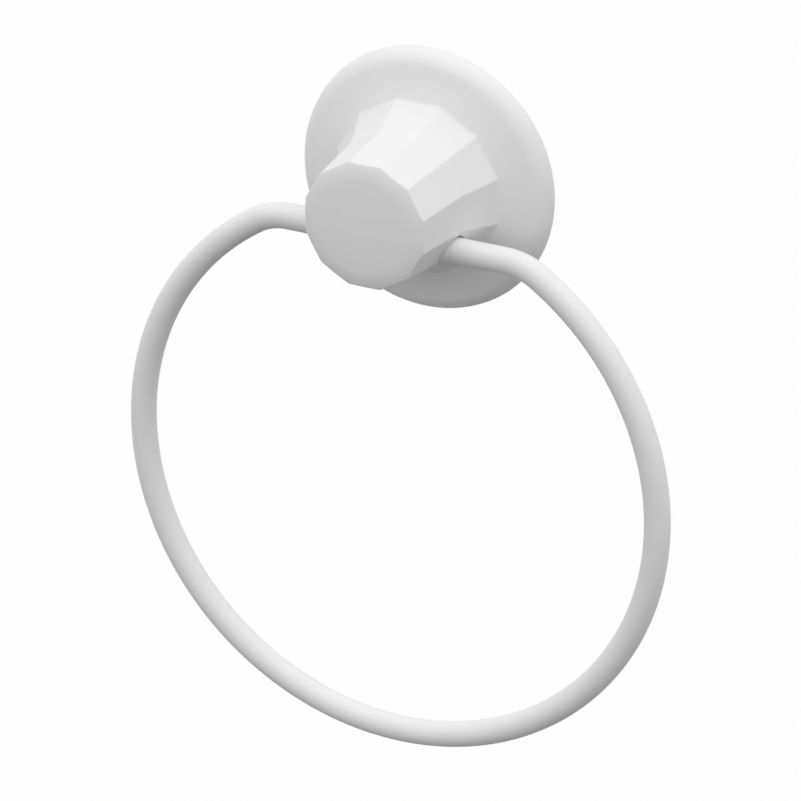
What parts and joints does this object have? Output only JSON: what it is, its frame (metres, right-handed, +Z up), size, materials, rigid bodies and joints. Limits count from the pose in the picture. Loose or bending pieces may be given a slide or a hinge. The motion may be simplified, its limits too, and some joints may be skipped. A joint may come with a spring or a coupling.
{
  "type": "towel ring",
  "caption": "Wall-mounted towel ring: a round-flanged post with a twelve-sided stem carries a swinging loop of bent wire, over a screwed wall bracket.",
  "frame": {"origin": "on the wall, at the centre of the bracket's back face, on the axis of the post", "axes": "+Y points into the wall, square to the bracket's back face; +Z is up; +X is to the right as seen from the room"},
  "size_m": [0.1622, 0.0396, 0.1967],
  "materials": {
    "white_paint": "satin white powder coat",
    "zinc_steel": "zinc-plated"
  },
  "bodies": {
    "post": {"post_body": "white_paint", "wall_bracket": "zinc_steel", "set_screw": "zinc_steel"},
    "ring": {"towel_ring": "white_paint"}
  },
  "joints": [
    {"name": "ring_swing", "type": "hinge", "parent": "post", "child": "ring", "pos_m": [0, -0.0196, -0.01035], "axis": [-1, 0, 0], "range_deg": [-6, 186]}
  ]
}
